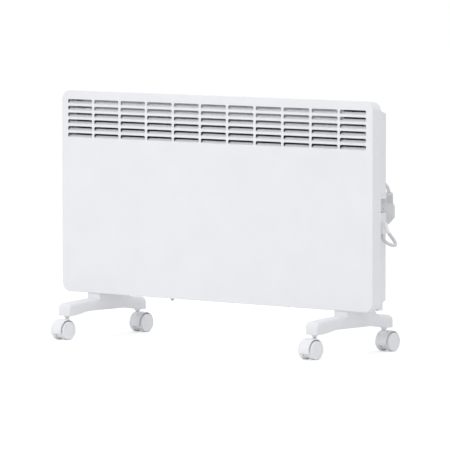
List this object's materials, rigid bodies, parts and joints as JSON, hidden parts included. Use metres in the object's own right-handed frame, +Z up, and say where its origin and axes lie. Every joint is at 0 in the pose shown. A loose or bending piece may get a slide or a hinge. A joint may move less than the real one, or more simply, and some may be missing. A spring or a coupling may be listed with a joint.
{
  "type": "panel convector heater",
  "caption": "Flat panel convector heater with a louvred front, standing on castor feet, with a rocker switch, a thermostat knob and a mains cord with its plug.",
  "frame": {"origin": "on the floor, at the middle of the heater's outer box without the cord and its pieces", "axes": "+X along the panel to the switch's side, +Y from the panel's front to its back, +Z up"},
  "size_m": [0.9003, 0.31, 0.547],
  "materials": {
    "casing_paint": "satin white powder coat",
    "cover_paint": "satin white powder coat",
    "foot_plastic": "fine matt moulded white",
    "castor_plastic": "semi-gloss moulded white",
    "housing_plastic": "matt moulded light grey",
    "control_plastic": "matt moulded grey",
    "plug_plastic": "matt moulded light grey",
    "cord_sheath": "smooth light grey sheath",
    "white_rubber": "smooth white",
    "zinc_steel": "zinc plated",
    "aluminium": "plain satin",
    "nickel_brass": "nickel plated",
    "dark_plastic": "matt dark grey",
    "brown_wire": "smooth brown insulation",
    "blue_wire": "smooth blue insulation"
  },
  "bodies": {
    "heater_body": {"air_deflector": "zinc_steel", "base_rail": "zinc_steel", "control_housing": "housing_plastic", "cord_clip": "housing_plastic", "cord_guide": "housing_plastic", "cord_hank": "cord_sheath", "cord_hook": "housing_plastic", "cord_loop": "cord_sheath", "cord_plug_lead": "cord_sheath", "cover_screw_left_high": "zinc_steel", "cover_screw_left_low": "zinc_steel", "cover_screw_right_high": "zinc_steel", "cover_screw_right_low": "zinc_steel", "duct_wall_left": "zinc_steel", "duct_wall_right": "zinc_steel", "element_bracket_left": "zinc_steel", "element_bracket_right": "zinc_steel", "foot_left": "foot_plastic", "foot_right": "foot_plastic", "foot_screw_left": "zinc_steel", "foot_screw_right": "zinc_steel", "front_casing": "casing_paint", "hank_tie": "dark_plastic", "heating_element": "aluminium", "inlet_grille": "cover_paint", "lock_screw": "zinc_steel", "plug_body": "plug_plastic", "plug_pin_left": "nickel_brass", "plug_pin_right": "nickel_brass", "rating_plate": "aluminium", "rear_cover": "cover_paint", "strain_relief": "white_rubber", "switch_body": "dark_plastic", "terminal_block": "dark_plastic", "thermal_cutout": "dark_plastic", "thermostat_body": "dark_plastic", "wire_live": "brown_wire", "wire_neutral": "blue_wire"},
    "swivel_front_left": {"castor_stem_front_left": "zinc_steel", "castor_hood_front_left": "castor_plastic", "castor_axle_front_left": "zinc_steel"},
    "wheel_right_front_left": {"wheel_right_front_left": "castor_plastic"},
    "wheel_left_front_left": {"wheel_left_front_left": "castor_plastic"},
    "swivel_rear_left": {"castor_stem_rear_left": "zinc_steel", "castor_hood_rear_left": "castor_plastic", "castor_axle_rear_left": "zinc_steel"},
    "wheel_right_rear_left": {"wheel_right_rear_left": "castor_plastic"},
    "wheel_left_rear_left": {"wheel_left_rear_left": "castor_plastic"},
    "swivel_front_right": {"castor_stem_front_right": "zinc_steel", "castor_hood_front_right": "castor_plastic", "castor_axle_front_right": "zinc_steel"},
    "wheel_right_front_right": {"wheel_right_front_right": "castor_plastic"},
    "wheel_left_front_right": {"wheel_left_front_right": "castor_plastic"},
    "swivel_rear_right": {"castor_stem_rear_right": "zinc_steel", "castor_hood_rear_right": "castor_plastic", "castor_axle_rear_right": "zinc_steel"},
    "wheel_right_rear_right": {"wheel_right_rear_right": "castor_plastic"},
    "wheel_left_rear_right": {"wheel_left_rear_right": "castor_plastic"},
    "rocker": {"rocker": "control_plastic"},
    "thermostat_knob": {"thermostat_knob": "control_plastic"}
  },
  "joints": [
    {"name": "swivel_front_left", "type": "hinge", "parent": "heater_body", "child": "swivel_front_left", "pos_m": [-0.356, -0.117, 0.047], "axis": [0, 0, 1], "continuous": true},
    {"name": "roll_right_front_left", "type": "hinge", "parent": "swivel_front_left", "child": "wheel_right_front_left", "pos_m": [-0.356, -0.13, 0.01983], "axis": [1, 0, 0], "continuous": true},
    {"name": "roll_left_front_left", "type": "hinge", "parent": "swivel_front_left", "child": "wheel_left_front_left", "pos_m": [-0.356, -0.13, 0.01983], "axis": [1, 0, 0], "continuous": true},
    {"name": "swivel_rear_left", "type": "hinge", "parent": "heater_body", "child": "swivel_rear_left", "pos_m": [-0.356, 0.117, 0.047], "axis": [0, 0, 1], "continuous": true},
    {"name": "roll_right_rear_left", "type": "hinge", "parent": "swivel_rear_left", "child": "wheel_right_rear_left", "pos_m": [-0.356, 0.13, 0.01983], "axis": [1, 0, 0], "continuous": true},
    {"name": "roll_left_rear_left", "type": "hinge", "parent": "swivel_rear_left", "child": "wheel_left_rear_left", "pos_m": [-0.356, 0.13, 0.01983], "axis": [1, 0, 0], "continuous": true},
    {"name": "swivel_front_right", "type": "hinge", "parent": "heater_body", "child": "swivel_front_right", "pos_m": [0.356, -0.117, 0.047], "axis": [0, 0, 1], "continuous": true},
    {"name": "roll_right_front_right", "type": "hinge", "parent": "swivel_front_right", "child": "wheel_right_front_right", "pos_m": [0.356, -0.13, 0.01983], "axis": [1, 0, 0], "continuous": true},
    {"name": "roll_left_front_right", "type": "hinge", "parent": "swivel_front_right", "child": "wheel_left_front_right", "pos_m": [0.356, -0.13, 0.01983], "axis": [1, 0, 0], "continuous": true},
    {"name": "swivel_rear_right", "type": "hinge", "parent": "heater_body", "child": "swivel_rear_right", "pos_m": [0.356, 0.117, 0.047], "axis": [0, 0, 1], "continuous": true},
    {"name": "roll_right_rear_right", "type": "hinge", "parent": "swivel_rear_right", "child": "wheel_right_rear_right", "pos_m": [0.356, 0.13, 0.01983], "axis": [1, 0, 0], "continuous": true},
    {"name": "roll_left_rear_right", "type": "hinge", "parent": "swivel_rear_right", "child": "wheel_left_rear_right", "pos_m": [0.356, 0.13, 0.01983], "axis": [1, 0, 0], "continuous": true},
    {"name": "switch_rock", "type": "hinge", "parent": "heater_body", "child": "rocker", "pos_m": [0.42274, 0.02778, 0.322], "axis": [-0.2516, 0.9678, 0], "range_deg": [0, 14]},
    {"name": "thermostat_turn", "type": "hinge", "parent": "heater_body", "child": "thermostat_knob", "pos_m": [0.386, 0.021, 0.52425], "axis": [0, 0.2607, 0.9654], "range_deg": [0, 300]}
  ]
}
